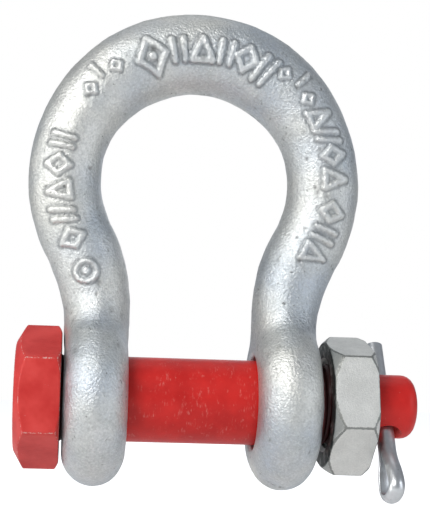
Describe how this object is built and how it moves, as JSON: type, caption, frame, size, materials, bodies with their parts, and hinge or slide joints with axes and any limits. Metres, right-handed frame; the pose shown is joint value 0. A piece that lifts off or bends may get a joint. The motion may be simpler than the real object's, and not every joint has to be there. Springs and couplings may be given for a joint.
{
  "type": "bolt-type bow shackle",
  "caption": "Omega-shaped forged steel lifting shackle closed by a red hex-headed bolt, a hex nut and a cotter pin.",
  "frame": {"origin": "on the bolt's axis, midway between the two eyes of the bow", "axes": "+X along the bolt from its head to its nut, +Z from the bolt up to the crown of the bow, -Y to the front, the side with the raised marks"},
  "size_m": [0.09, 0.0392, 0.1091],
  "materials": {
    "galvanised_forging": "hot-dip galvanised, fine grained, satin",
    "red_paint": "thin red enamel, rubbed through at edges",
    "galvanised_nut": "galvanised, granular, matt",
    "zinc_wire": "bright zinc plated wire"
  },
  "bodies": {
    "bow": {"bow": "galvanised_forging"},
    "bolt": {"bolt": "red_paint"},
    "nut": {"nut": "galvanised_nut"},
    "cotter_pin": {"cotter_pin": "zinc_wire"}
  },
  "joints": [
    {"name": "bolt_spin", "type": "hinge", "parent": "bow", "child": "bolt", "pos_m": [0, 0, 0], "axis": [1, 0, 0], "continuous": true},
    {"name": "nut_turn", "type": "hinge", "parent": "bolt", "child": "nut", "pos_m": [0.0354, 0, 0], "axis": [1, 0, 0], "range_deg": [-70, 255]},
    {"name": "cotter_pull", "type": "slide", "parent": "bolt", "child": "cotter_pin", "axis": [0, -0.515, -0.8572], "range_m": [0, 0.026]}
  ]
}
